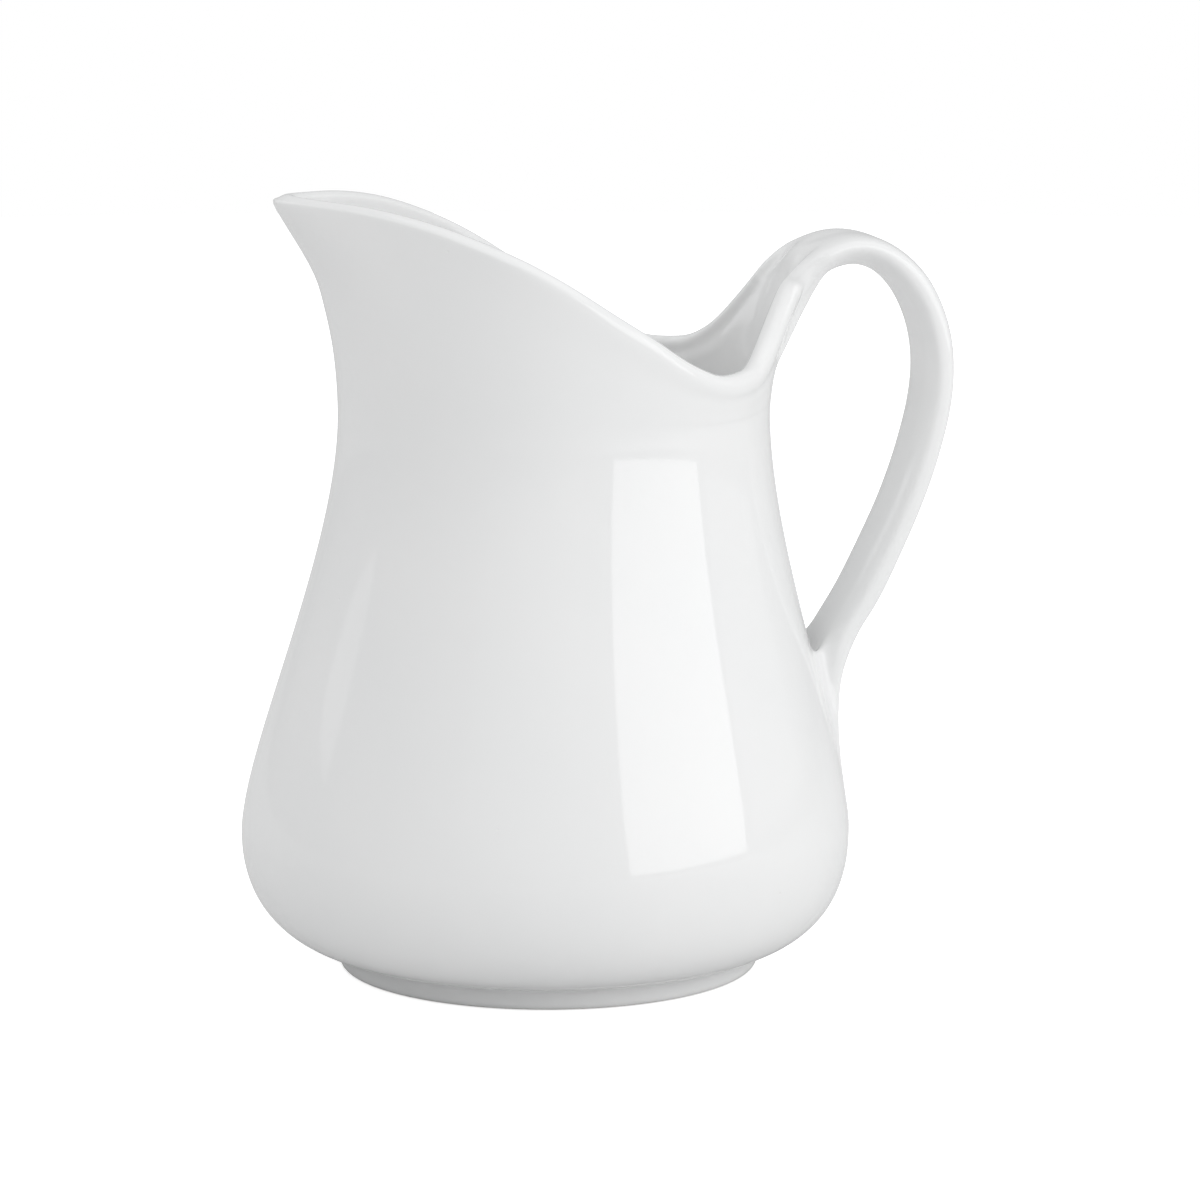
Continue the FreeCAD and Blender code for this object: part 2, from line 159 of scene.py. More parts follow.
def vector_math(tree, operation, first, second=None):
    plugs = {0: first}
    if second is not None:
        plugs["Scale" if operation == "SCALE" else 1] = second
    return add_node(tree, "ShaderNodeVectorMath", plugs, operation=operation).outputs[0]


def attribute(tree, name, kind="FLOAT"):
    node = add_node(tree, "GeometryNodeInputNamedAttribute", {"Name": name}, data_type=kind)
    return Term(tree, node.outputs["Attribute"])


def new_tree(name, inputs, outputs):
    """A geometry node tree, with its inputs as terms or sockets by name."""
    tree = bpy.data.node_groups.new(name, "GeometryNodeTree")
    for socket, kind in outputs:
        tree.interface.new_socket(socket, in_out="OUTPUT", socket_type=kind)
    for socket, kind, default in inputs:
        item = tree.interface.new_socket(socket, in_out="INPUT", socket_type=kind)
        if default is not None:
            item.default_value = default
    start = tree.nodes.new("NodeGroupInput")
    end = tree.nodes.new("NodeGroupOutput")
    given = {name: Term(tree, start.outputs[name]) for name, kind, default in inputs}
    return tree, given, end


def baked(piece, tree, values):
    """The plain mesh that a node tree makes of a piece, with its inputs set by name."""
    modifier = piece.modifiers.new(tree.name, "NODES")
    modifier.node_group = tree
    for item in tree.interface.items_tree:
        if item.item_type == "SOCKET" and item.in_out == "INPUT" and item.name in values:
            modifier[item.identifier] = values[item.name]
    evaluated = piece.evaluated_get(bpy.context.evaluated_depsgraph_get())
    mesh = bpy.data.meshes.new_from_object(evaluated)
    piece.modifiers.remove(modifier)
    bpy.data.objects.remove(piece)
    return mesh


# ---- the turned and pulled wall ----------------------------------------------------

MERIDIANS = 48           # columns of the wall's grid, from the handle's side round
LIP_LINE = [
    # bearing from the handle in degrees, level of the lip's middle in millimetres
    (0, 140.0), (7.5, 138.6), (15, 134.9), (22.5, 127.6), (30, 123.4), (41, 120.6),
    (52, 120.4), (62, 122.8), (77, 129.4), (91, 136.0), (104, 142.2), (118, 147.3),
    (130, 150.6), (144, 152.8), (160, 153.6), (180, 154.0),
]
POINT_VALUES = ("Bearing", "Radius", "Level", "Middle", "Share")
SHARED_SIZES = ("Waist Radius", "Waist Level", "Lip Flare", "Lip Low", "Spout Level",
                "Spout Reach")
WALL_SHARES = (0.18, 0.36, 0.54, 0.72)      # of the height from the waist to the lip
BEAD_BEARINGS = (-20, 35, 90, 145, 200)     # round the lip's section, in degrees from outwards
LIP_PROUD = 0.2 * MM     # how far the lip stands out of the wall
LIP_TURN = 0.05          # radians each side that the lip's own direction is taken over
FLARE_CURL = 1.3         # how late the wall leans out, as a power of its height
SPOUT_CURL = 2.5         # how late it runs out to the spout
SPOUT_POWER = 3.0        # how narrow the spout is, as a power of the cosine of its bearing
SPOUT_PINCH = 0.55       # share of a round lip's width taken off at the tip of the spout
THROAT_REACH = 6.0 * MM  # how far the lip runs out into the handle
THROAT_CURL = 1.8        # how late it starts to, as a power of the wall's height
THROAT_START = math.radians(30)
THROAT_END = math.radians(3)
FOOT_SHARE = 0.4         # share of the foot's width that the belly starts in from its outside
UNDER_REACH = 13.5 * MM  # how far the belly's line heads out from the foot,
UNDER_RISE = 1.3 * MM    # and how little it rises over that
BELLY_LOWER = 12.5 * MM  # how far the line stays upright under the belly's widest level,
BELLY_UPPER = 16.4 * MM  # over it
WAIST_LOWER = 27.7 * MM  # and under the waist
BELLY_PLACES = (0.13, 0.24, 0.38, 0.54, 0.7, 0.86)      # stations on the line up to the belly
NECK_STEPS = 14          # and on the line from there to the waist
LINE_STEP = 0.001        # share of a line each side that its slope is taken over
COVE = 3.2 * MM          # rounding between the foot ring and the belly
COVE_OUT = 1.03          # its middle's place out of the foot, as a share of its radius
COVE_DROP = 2.45 * MM    # and its level under the floor's underside
COVE_BEARINGS = (172, 145, 115)
FOOT_EDGE = 0.5 * MM     # rounding of the foot's edges
FOOT_FLAT = 1.2 * MM     # how far in from its edges the foot stands flat
POLE_RING = 12 * MM      # rings of the floor, above and below
FLOOR_RING = 26 * MM
FLOOR_CLEAR = 2 * MM     # level over the floor where the wall's inside ends


def bezier(points, t):
    """The point at t on the Bezier curve of some control points of any dimension."""
    while len(points) > 1:
        points = [tuple(a + (b - a) * t for a, b in zip(p, q))
                  for p, q in zip(points, points[1:])]
    return points[0]


def turned_line(size, inset):
    """Stations up the wall from the foot to the waist, at a depth inside its outside."""
    foot = (size.foot_radius - FOOT_SHARE * size.foot_width, size.foot_height, 0)
    widest = (size.belly_radius, size.belly_level, size.belly_shift)
    waist = (size.waist_radius, size.waist_level, size.waist_shift)
    below = [foot, (foot[0] + UNDER_REACH, foot[1] + UNDER_RISE, 0),
             (widest[0], widest[1] - BELLY_LOWER, widest[2]), widest]
    above = [widest, (widest[0], widest[1] + BELLY_UPPER, widest[2]),
             (waist[0], waist[1] - WAIST_LOWER, waist[2]), waist]
    places = [(below, t) for t in BELLY_PLACES]
    places += [(above, k / NECK_STEPS) for k in range(NECK_STEPS + 1)]
    stations = []
    for outline, t in places:
        radius, level, middle = bezier(outline, t)
        ahead = bezier(outline, t + LINE_STEP)
        back = bezier(outline, t - LINE_STEP)
        run, rise = ahead[0] - back[0], ahead[1] - back[1]
        slope = math.hypot(run, rise)
        stations.append((radius - inset * rise / slope, level + inset * run / slope, middle))
    return stations


def section(size):
    """Stations round the whole section of the vessel: under the foot, up the outside,
    over the lip and down the inside. Each is a radius, a level, the middle's place
    along X, a share of the height between waist and lip, and what it stands off the
    lip's own line, outwards and upwards."""
    base = size.foot_height
    inner_foot = size.foot_radius - size.foot_width
    under = [
        (POLE_RING, base), (FLOOR_RING, base), (inner_foot - 3.5 * MM, base),
        (inner_foot - 1.1 * MM, base - 0.1 * MM), (inner_foot - 0.1 * MM, base - 1.2 * MM),
        (inner_foot + 0.05 * MM, 1.1 * MM), (inner_foot + FOOT_EDGE, 0.12 * MM),
        (inner_foot + FOOT_FLAT, 0), (size.foot_radius - FOOT_FLAT, 0),
        (size.foot_radius - FOOT_EDGE, 0.12 * MM), (size.foot_radius, 0.9 * MM),
    ]
    for bearing in COVE_BEARINGS:
        turn = math.radians(bearing)
        under.append((size.foot_radius + COVE * (COVE_OUT + math.cos(turn)),
                      base - COVE_DROP + COVE * math.sin(turn)))
    stations = [(radius, level, 0, 0, 0, 0) for radius, level in under]
    stations += [(*place, 0, 0, 0) for place in turned_line(size, 0)]
    for share in WALL_SHARES:
        stations.append((size.waist_radius, size.waist_level, size.waist_shift, share, 0, 0))
    for bearing in BEAD_BEARINGS:
        turn = math.radians(bearing)
        stations.append((size.waist_radius - size.lip_radius + LIP_PROUD, size.waist_level,
                         size.waist_shift, 1, size.lip_radius * math.cos(turn),
                         size.lip_radius * math.sin(turn)))
    thicker = 2 * size.lip_radius - LIP_PROUD - size.wall
    for share in reversed(WALL_SHARES):
        stations.append((size.waist_radius - size.wall - thicker * share, size.waist_level,
                         size.waist_shift, share, 0, 0))
    floor = base + size.wall
    inside = [place for place in turned_line(size, size.wall)[::-2]
              if place[1] > floor + FLOOR_CLEAR]
    stations += [(*place, 0, 0, 0) for place in inside]
    last = inside[-1][0]
    for radius, level in ((last - 5 * MM, floor + 0.6 * MM), (last - 13 * MM, floor),
                          (FLOOR_RING, floor), (POLE_RING, floor)):
        stations.append((radius, level, 0, 0, 0, 0))
    return stations


def wall_point_group():
    """Node group: the point of the wall at a bearing, from its station's values."""
    tree, given, end = new_tree("Wall Point", [
        (name, "NodeSocketFloat", None) for name in (*POINT_VALUES, *SHARED_SIZES)],
        [("Point", "NodeSocketVector")])
    bearing = given["Bearing"]
    across = bearing.made("COSINE")
    aside = bearing.made("SINE")
    front = (across * -1.0).made("MAXIMUM", 0.0) ** SPOUT_POWER
    turn = ((bearing - math.pi).made("ABSOLUTE") - math.pi).made("ABSOLUTE")
    lip = add_node(tree, "ShaderNodeFloatCurve", {"Value": turn / math.pi})
    curve = lip.mapping.curves[0]
    levels = [level for place, level in LIP_LINE]
    low, high = min(levels), max(levels)
    shares = [(place / 180, (level - low) / (high - low)) for place, level in LIP_LINE]
    curve.points[0].location = shares[0]
    curve.points[1].location = shares[-1]
    for share in shares[1:-1]:
        curve.points.new(*share)
    lip.mapping.update()
    height = (Term(tree, lip.outputs[0]) * (given["Spout Level"] - given["Lip Low"])
              + given["Lip Low"] - given["Waist Level"])
    back = add_node(tree, "ShaderNodeMapRange", {
        "Value": turn, "From Min": THROAT_START, "From Max": THROAT_END},
        interpolation_type="SMOOTHERSTEP").outputs[0]
    flare = given["Lip Flare"] * given["Share"] ** FLARE_CURL
    pull = front * given["Share"] ** SPOUT_CURL
    out = (flare * across - given["Spout Reach"] * pull
           + Term(tree, back) * THROAT_REACH * given["Share"] ** THROAT_CURL)
    wide = flare - given["Waist Radius"] * pull * SPOUT_PINCH
    point = vector_of(tree, given["Middle"] + given["Radius"] * across + out,
                      (given["Radius"] + wide) * aside,
                      given["Level"] + height * given["Share"])
    plug(tree, point, end.inputs["Point"])
    return tree


def wall_tree(group):
    """Node tree: turns the section round the axis and pulls the spout, by the wall's
    rule. The lip's stations stand square to the lip's own line."""
    tree, given, end = new_tree("Turned And Pulled Wall", [
        ("Section", "NodeSocketGeometry", None), ("Meridians", "NodeSocketInt", MERIDIANS),
        ("Material", "NodeSocketMaterial", None), ("Waist Shift", "NodeSocketFloat", None),
        *((name, "NodeSocketFloat", None) for name in SHARED_SIZES)],
        [("Wall", "NodeSocketGeometry")])
    profile = add_node(tree, "GeometryNodeMeshToCurve", {"Mesh": given["Section"]})
    circle = add_node(tree, "GeometryNodeCurvePrimitiveCircle",
                      {"Resolution": given["Meridians"]})
    along = add_node(tree, "GeometryNodeSplineParameter")
    marked = add_node(tree, "GeometryNodeStoreNamedAttribute", {
        "Geometry": circle.outputs["Curve"], "Name": "bearing",
        "Value": Term(tree, along.outputs["Factor"]) * (2 * math.pi)})
    turned = add_node(tree, "GeometryNodeCurveToMesh", {
        "Curve": marked.outputs[0], "Profile Curve": profile.outputs[0]})

    bearing = attribute(tree, "bearing")

    def wall_point(*values):
        node = add_node(tree, "GeometryNodeGroup", node_tree=group)
        for name, value in zip(POINT_VALUES, values):
            plug(tree, value, node.inputs[name])
        for name in SHARED_SIZES:
            plug(tree, given[name], node.inputs[name])
        return node.outputs["Point"]

    def lip_point(offset):
        return wall_point(bearing + offset, given["Waist Radius"], given["Waist Level"],
                          given["Waist Shift"], 1.0)

    place = wall_point(bearing, attribute(tree, "distance"), attribute(tree, "level"),
                       attribute(tree, "middle"), attribute(tree, "share"))
    along_lip = vector_math(tree, "NORMALIZE", vector_math(
        tree, "SUBTRACT", lip_point(LIP_TURN), lip_point(-LIP_TURN)))
    outward = vector_math(tree, "NORMALIZE", vector_math(
        tree, "CROSS_PRODUCT", along_lip, (0.0, 0.0, 1.0)))
    upward = vector_math(tree, "CROSS_PRODUCT", outward, along_lip)
    off = vector_math(tree, "ADD",
                      vector_math(tree, "SCALE", outward, attribute(tree, "out")),
                      vector_math(tree, "SCALE", upward, attribute(tree, "up")))
    shaped = add_node(tree, "GeometryNodeSetPosition", {
        "Geometry": turned.outputs[0], "Position": vector_math(tree, "ADD", place, off)})
    real = add_node(tree, "GeometryNodeRealizeInstances", {0: shaped.outputs[0]})
    glazed = add_node(tree, "GeometryNodeSetMaterial", {
        "Geometry": real.outputs[0], "Material": given["Material"]})
    plug(tree, glazed.outputs[0], end.inputs["Wall"])
    return tree


def line_object(name, points, columns):
    """An open line of points that carries a value of each column at every point."""
    mesh = bpy.data.meshes.new(name)
    mesh.from_pydata(points, [(i, i + 1) for i in range(len(points) - 1)], [])
    for column, values in columns.items():
        mesh.attributes.new(column, "FLOAT", "POINT").data.foreach_set("value", values)
    piece = bpy.data.objects.new(name, mesh)
    bpy.context.scene.collection.objects.link(piece)
    return piece


def turned_wall(size, material):
    """The vessel's plain mesh: a grid of stations by meridians."""
    stations = section(size)
    names = ("distance", "level", "middle", "share", "out", "up")
    columns = dict(zip(names, zip(*stations)))
    columns["station"] = range(len(stations))
    points = [(0, station * MM, 0) for station in range(len(stations))]
    tree = wall_tree(wall_point_group())
    return baked(line_object("section", points, columns), tree, {
        "Meridians": MERIDIANS, "Material": material, "Waist Shift": size.waist_shift,
        "Waist Radius": size.waist_radius, "Waist Level": size.waist_level,
        "Lip Flare": size.lip_flare, "Lip Low": size.lip_low,
        "Spout Level": size.spout_level, "Spout Reach": size.spout_reach})


# ---- the strap handle --------------------------------------------------------------

SPOKES = 22              # points round the strap
STRAP_RINGS = 24
ROUND_POWER = 0.7        # under 1 flattens the strap's faces
STRAP_LINE = [
    # place along X, level, half width, half thickness, rise of its edges over its middle,
    # in millimetres
    (55.2, 141.6, 12.4, 3.4, 1.5), (58.5, 142.8, 11.9, 3.3, 1.5), (61.8, 143.2, 11.5, 3.2, 1.3),
    (65.6, 142.5, 11.1, 3.15, 1.0), (69.4, 140.5, 10.9, 3.1, 0.6), (73.2, 137.0, 10.8, 3.1, 0.3),
    (76.4, 131.8, 10.75, 3.0, 0.1), (78.5, 125.6, 10.75, 2.9, 0), (79.2, 118.8, 10.75, 2.8, 0),
    (78.6, 111.6, 10.7, 2.8, 0), (76.9, 104.2, 10.6, 2.8, 0), (74.6, 96.8, 10.5, 2.8, 0),
    (71.8, 89.6, 10.4, 2.8, 0), (68.6, 82.6, 10.3, 2.9, 0), (65.4, 76.0, 10.2, 3.0, 0),
    (62.8, 71.4, 10.2, 2.9, 0), (60.3, 67.4, 10.2, 2.9, 0),
]
EDGE_POWER = 1.6         # how near the edges the rise is, as a power of the sine
ROUNDER_BY_RISE = 0.2 / MM      # how much rounder the strap is where its edges rise


def strap_tree():
    """Node tree: carries a flattened round along the strap's middle line. The section's
    half width lies across Y and its half thickness across the line."""
    tree, given, end = new_tree("Strap Along Line", [
        ("Line", "NodeSocketGeometry", None), ("Rings", "NodeSocketInt", STRAP_RINGS),
        ("Spokes", "NodeSocketInt", SPOKES), ("Round Power", "NodeSocketFloat", ROUND_POWER),
        ("Material", "NodeSocketMaterial", None)], [("Strap", "NodeSocketGeometry")])
    line = add_node(tree, "GeometryNodeMeshToCurve", {"Mesh": given["Line"]})
    rounded = add_node(tree, "GeometryNodeCurveSplineType", {"Curve": line.outputs[0]},
                       spline_type="CATMULL_ROM")
    even = add_node(tree, "GeometryNodeResampleCurve", {
        "Curve": rounded.outputs[0], "Count": given["Rings"]})

    def stored(geometry, name, kind, value):
        node = add_node(tree, "GeometryNodeStoreNamedAttribute", {
            "Geometry": geometry, "Name": name}, data_type=kind)
        plug(tree, value, node.inputs["Value"])
        return node.outputs[0]

    place = add_node(tree, "GeometryNodeInputPosition").outputs[0]
    heading = add_node(tree, "GeometryNodeInputTangent").outputs[0]
    index = add_node(tree, "GeometryNodeInputIndex").outputs[0]
    path = stored(even.outputs[0], "middle_line", "FLOAT_VECTOR", place)
    path = stored(path, "heading", "FLOAT_VECTOR", heading)
    path = stored(path, "ring", "FLOAT", index)
    circle = add_node(tree, "GeometryNodeCurvePrimitiveCircle", {
        "Resolution": given["Spokes"]})
    spoke = stored(circle.outputs[0], "spoke", "FLOAT", index)
    swept = add_node(tree, "GeometryNodeCurveToMesh", {"Curve": path, "Profile Curve": spoke})

    turn = attribute(tree, "spoke") * (2 * math.pi / SPOKES)

    def flattened(wave, size):
        sign = wave.made("SIGN")
        power = given["Round Power"] + attribute(tree, "rise") * ROUNDER_BY_RISE
        return (wave.made("ABSOLUTE") ** power) * sign * attribute(tree, size)

    heading = attribute(tree, "heading", "FLOAT_VECTOR")
    outward = vector_math(tree, "CROSS_PRODUCT", heading, (0.0, 1.0, 0.0))
    outward = vector_math(tree, "NORMALIZE", outward)
    aside = vector_math(tree, "SCALE", (0.0, 1.0, 0.0), flattened(turn.made("SINE"), "wide"))
    rise = (turn.made("SINE").made("ABSOLUTE") ** EDGE_POWER) * attribute(tree, "rise")
    out = vector_math(tree, "SCALE", outward, flattened(turn.made("COSINE"), "thick") + rise)
    place = vector_math(tree, "ADD", attribute(tree, "middle_line", "FLOAT_VECTOR"),
                        vector_math(tree, "ADD", aside, out))
    shaped = add_node(tree, "GeometryNodeSetPosition", {
        "Geometry": swept.outputs[0], "Position": place})
    real = add_node(tree, "GeometryNodeRealizeInstances", {0: shaped.outputs[0]})
    glazed = add_node(tree, "GeometryNodeSetMaterial", {
        "Geometry": real.outputs[0], "Material": given["Material"]})
    plug(tree, glazed.outputs[0], end.inputs["Strap"])
    return tree


def strap(material):
    """The strap's plain mesh: an open tube of rings, each with its spokes in order from
    the middle of its outer face towards +Y."""
    points = [(row[0] * MM, 0, row[1] * MM) for row in STRAP_LINE]
    columns = {name: [row[number] * MM for row in STRAP_LINE]
               for number, name in ((2, "wide"), (3, "thick"), (4, "rise"))}
    return baked(line_object("strap_line", points, columns), strap_tree(), {
        "Rings": STRAP_RINGS, "Spokes": SPOKES, "Round Power": ROUND_POWER,
        "Material": material})


# ---- joining -----------------------------------------------------------------------

HALF_OPENING = 2         # columns each side of the handle
THROAT_ROWS = range(43, 35, -1)     # from inside the lip over it and down the outside
THROAT_LEAVING = {       # how firmly the wall's heading holds where the strap leaves it,
    43: (12 * MM, 11 * MM, 8 * MM),     # inside and outside, by columns off the middle
    36: (12 * MM, 11 * MM, 7 * MM)}
THROAT_SIDE = 12 * MM    # and at the lip
THROAT_ASIDE = 0.3       # share of their run across the handle that they keep
THROAT_RINGS = 3
TAIL_ROWS = range(20, 28)
TAIL_RINGS = 5
TAIL_LEAVING = (19 * MM, 60 * MM)   # how firmly the strap's heading holds, inside and outside
TAIL_ARRIVING = {20: 30 * MM, 27: 19 * MM}      # and the belly's, at the ends of the opening
TAIL_SIDE = 14 * MM      # and at its sides
TAIL_FADE = 2            # how steeply the hold fades from the outside, as a power
SMOOTHING_LEVEL = 2
SETTLE_PASSES = 3


def grid_of(points, mesh, row_name, column_name):
    """The points that came from a plain mesh, by row and by column."""
    rows, columns = ([item.value for item in mesh.attributes[name].data]
                     for name in (row_name, column_name))
    grid = {}
    for point, row, column in zip(points, rows, columns):
        grid.setdefault(round(row), {})[column] = point
    return [[grid[row][column] for column in sorted(grid[row])] for row in sorted(grid)]


def opened(form, grid, rows, half):
    """Opens the wall over some rows of the grid, half columns each side of the handle.
    Returns the points round the opening, from the middle of the first row towards +Y,
    along the rows to the last and back, each one's heading along the wall, away from the
    opening, and its row and column."""
    places = [(rows[0], column) for column in range(half + 1)]
    places += [(row, half) for row in rows[1:-1]]
    places += [(rows[-1], column) for column in range(half, -half - 1, -1)]
    places += [(row, -half) for row in reversed(rows[1:-1])]
    places += [(rows[0], column) for column in range(-half, 0)]
    loop = [grid[row][column] for row, column in places]
    step = rows[1] - rows[0]
    away = []
    for (row, column), point in zip(places, loop):
        beyond_row = row + step * ((row == rows[-1]) - (row == rows[0]))
        beyond_column = column + (column == half) - (column == -half)
        away.append((grid[beyond_row][beyond_column].co - point.co).normalized())
    inside = [grid[row][column] for row in rows[1:-1] for column in range(-half + 1, half)]
    bmesh.ops.delete(form, geom=inside, context="VERTS")
    return loop, away, places


def blend(form, start, end, leaving, arriving, count):
    """Joins two loops of as many points by rings along smooth ribs. Leaving and arriving
    are the ribs' headings at their ends, one vector for each point."""
    rings = [start]
    for k in range(1, count + 1):
        s = k / (count + 1)
        rings.append([
            form.verts.new(a.co * (1 + 2 * s) * (1 - s) ** 2 + b.co * s * s * (3 - 2 * s)
                           + go * s * (1 - s) ** 2 - come * s * s * (1 - s))
            for a, b, go, come in zip(start, end, leaving, arriving)])
    rings.append(end)
    for ring, after in zip(rings, rings[1:]):
        for j in range(len(ring)):
            i = (j + 1) % len(ring)
            form.faces.new((ring[j], ring[i], after[i], after[j]))


def porcelain_form(size, material):
    """The whole pitcher as one closed cage: the turned wall, its poles closed, and the
    strap grown out of the lip and into the belly."""
    form = bmesh.new()
    wall_mesh = turned_wall(size, material)
    strap_mesh = strap(material)
    form.from_mesh(wall_mesh)
    form.from_mesh(strap_mesh)
    points = list(form.verts)
    wall = grid_of(points, wall_mesh, "station", "bearing")
    bar = grid_of(points[len(wall_mesh.vertices):], strap_mesh, "ring", "spoke")
    form.faces.new(wall[0])
    form.faces.new(wall[-1])
    throat, throat_away, throat_places = opened(form, wall, THROAT_ROWS, HALF_OPENING)
    tail, tail_away, tail_places = opened(form, wall, TAIL_ROWS, HALF_OPENING)
    first = (bar[1][0].co - bar[0][0].co).normalized()
    last = (bar[-1][0].co - bar[-2][0].co).normalized()
    leaving = []
    arriving = []
    for (row, column), away in zip(throat_places, throat_away):
        pull = THROAT_LEAVING[row][abs(column)] if row in THROAT_LEAVING else THROAT_SIDE
        leaving.append(Vector((-away.x, -away.y * THROAT_ASIDE, -away.z)) * pull)
        arriving.append(first * pull)
    blend(form, throat, bar[0], leaving, arriving, THROAT_RINGS)
    leaving = []
    arriving = []
    inner, outer = TAIL_LEAVING
    for j, (row, column) in enumerate(tail_places):
        outward = (1 + math.cos(2 * math.pi * j / SPOKES)) / 2
        leaving.append(last * (inner + (outer - inner) * outward ** TAIL_FADE))
        arriving.append(tail_away[j] * TAIL_ARRIVING.get(row, TAIL_SIDE))
    blend(form, bar[-1], tail, leaving, arriving, TAIL_RINGS)
    bmesh.ops.recalc_face_normals(form, faces=form.faces)
    return form


def smoothed_places(body):
    """Where the smoothed surface lies now: the cage's own points first."""
    body.data.update()
    evaluated = body.evaluated_get(bpy.context.evaluated_depsgraph_get())
    mesh = bpy.data.meshes.new_from_object(evaluated)
    places = [point.co.copy() for point in mesh.vertices]
    bpy.data.meshes.remove(mesh)
    return places


def settle(body):
    """Moves the cage's points until the smoothed surface passes through their places."""
    goals = [point.co.copy() for point in body.data.vertices]
    for again in range(SETTLE_PASSES):
        for point, goal, now in zip(body.data.vertices, goals, smoothed_places(body)):
            point.co += goal - now


def keep_inside(body):
    """Draws the cage in until the smoothed surface lies inside the part's own box."""
    smoothed = smoothed_places(body)
    for axis in range(3):
        places = [place[axis] for place in smoothed]
        low, high = min(places), max(places)
        new_low, new_high = max(low, LOW[axis]), min(high, HIGH[axis])
        share = (new_high - new_low) / (high - low)
        for point in body.data.vertices:
            point.co[axis] = new_low + (point.co[axis] - low) * share
    body.data.update()


# ---- material ----------------------------------------------------------------------

GLAZE_IOR = 1.5
POOL_SCALE = 22          # waves of tone to a metre
POOL_RANGE = (0.3, 0.7)  # noise that is all pooled colour, and all glaze colour
WAVE_SCALE = 26          # waves of the glaze's surface to a metre
SKIN_SCALE = 420         # and of its fine skin
SKIN_DEPTH = 0.004 * MM
SPECK_SCALE = 90         # waves of gloss to a metre
GLOSS_CHANGE = 0.03
PIT_SCALE = 75           # cells to a metre, each with a pinhole
PIT_SHARE = 0.028        # radius of a pinhole, as a share of its cell
PIT_DEPTH = 0.08 * MM
BARE_LEVEL = 0.4 * MM    # how far up the foot the glaze is wiped off
BARE_ROUGHNESS = 0.7


def glazed_porcelain():
    """White porcelain under a clear glaze that lies a little wavy, pools to a faint
    unevenness of tone, shows a few pinholes and is wiped off where the foot stands."""
    look = bpy.context.scene.pitcher_glaze
    material = bpy.data.materials.new("glazed_porcelain")
    material.use_nodes = True
    tree = material.node_tree
    shader = tree.nodes["Principled BSDF"]
    place = add_node(tree, "ShaderNodeTexCoord").outputs["Object"]

    def clouds(scale, detail):
        return add_node(tree, "ShaderNodeTexNoise", {
            "Vector": place, "Scale": scale, "Detail": detail, "Roughness": 0.5}).outputs["Fac"]

    level = add_node(tree, "ShaderNodeSeparateXYZ", {0: place}).outputs["Z"]
    bare = add_node(tree, "ShaderNodeMapRange", {
        "Value": level, "From Min": LOW.z + BARE_LEVEL, "From Max": LOW.z + 0.5 * BARE_LEVEL},
        interpolation_type="SMOOTHSTEP").outputs[0]
    tone = add_node(tree, "ShaderNodeMapRange", {
        "Value": clouds(POOL_SCALE, 3.0), "From Min": POOL_RANGE[0],
        "From Max": POOL_RANGE[1]})
    glazed = add_node(tree, "ShaderNodeMix", {
        "Factor": tone.outputs[0], "A": (*look.pooled, 1), "B": (*look.colour, 1)},
        data_type="RGBA")
    colour = add_node(tree, "ShaderNodeMix", {
        "Factor": bare, "A": glazed.outputs["Result"], "B": (*look.bare, 1)}, data_type="RGBA")
    plug(tree, colour.outputs["Result"], shader.inputs["Base Color"])
    gloss = Term(tree, clouds(SPECK_SCALE, 2.0)) * GLOSS_CHANGE + (look.gloss - GLOSS_CHANGE / 2)
    roughness = gloss + Term(tree, bare) * (BARE_ROUGHNESS - look.gloss)
    plug(tree, roughness, shader.inputs["Roughness"])

    pits = add_node(tree, "ShaderNodeTexVoronoi", {
        "Vector": place, "Scale": PIT_SCALE, "Randomness": 1.0})
    hollow = add_node(tree, "ShaderNodeMapRange", {
        "Value": pits.outputs["Distance"], "From Min": 0.0, "From Max": PIT_SHARE,
        "To Min": -1.0, "To Max": 0.0}, interpolation_type="SMOOTHSTEP").outputs[0]
    waves = add_node(tree, "ShaderNodeBump", {
        "Height": clouds(WAVE_SCALE, 1.0), "Strength": 1.0, "Distance": look.waviness})
    skin = add_node(tree, "ShaderNodeBump", {
        "Height": clouds(SKIN_SCALE, 1.0), "Strength": 1.0, "Distance": SKIN_DEPTH,
        "Normal": waves.outputs[0]})
    pitted = add_node(tree, "ShaderNodeBump", {
        "Height": hollow, "Strength": 1.0, "Distance": PIT_DEPTH, "Normal": skin.outputs[0]})
    plug(tree, pitted.outputs[0], shader.inputs["Normal"])
    shader.inputs["IOR"].default_value = GLAZE_IOR
    return material


# ---- the stage ---------------------------------------------------------------------

CAMERA_PLACE = (-0.20803, -1.01565, 0.25652)
CAMERA_AIM = (0.01068, 0.0, 0.07339)
CAMERA_LENS = 157.75
CAMERA_SENSOR = 36.0
LAMP_AIM = (0, 0, 0.08)
LAMPS = [
    # bearing, elevation, distance, width, height and radiance of each soft light
    ("window", -46.6, 15.5, 1.25, 1.17, 0.78, 1.9),
    ("overhead", -20, 80, 1.4, 1.6, 1.6, 0.5),
    ("fill", -150, 48, 1.6, 1.6, 1.3, 0.6),
    ("backleft", 140, 30, 1.5, 1.3, 1.2, 0.5),
    ("frontlow", -110, 12, 1.6, 1.4, 0.6, 0.1),
    ("right", 0, 20, 1.4, 0.9, 1.0, 0.2),
]
WORLD_COLOUR = (0.72, 0.725, 0.73, 1)
WORLD_STRENGTH = 0.75
SEEN_COLOUR = (1, 1, 1, 1)      # of the world where the camera sees it
FLOOR_RADIUS = 1.5
FLOOR_SIDES = 64
FLOOR_GAP = 0.2 * MM     # how far the floor lies under the foot
FLOOR_COLOUR = (0.8, 0.8, 0.8, 1)
FLOOR_LIFT = 0.74        # light that the camera sees the floor give


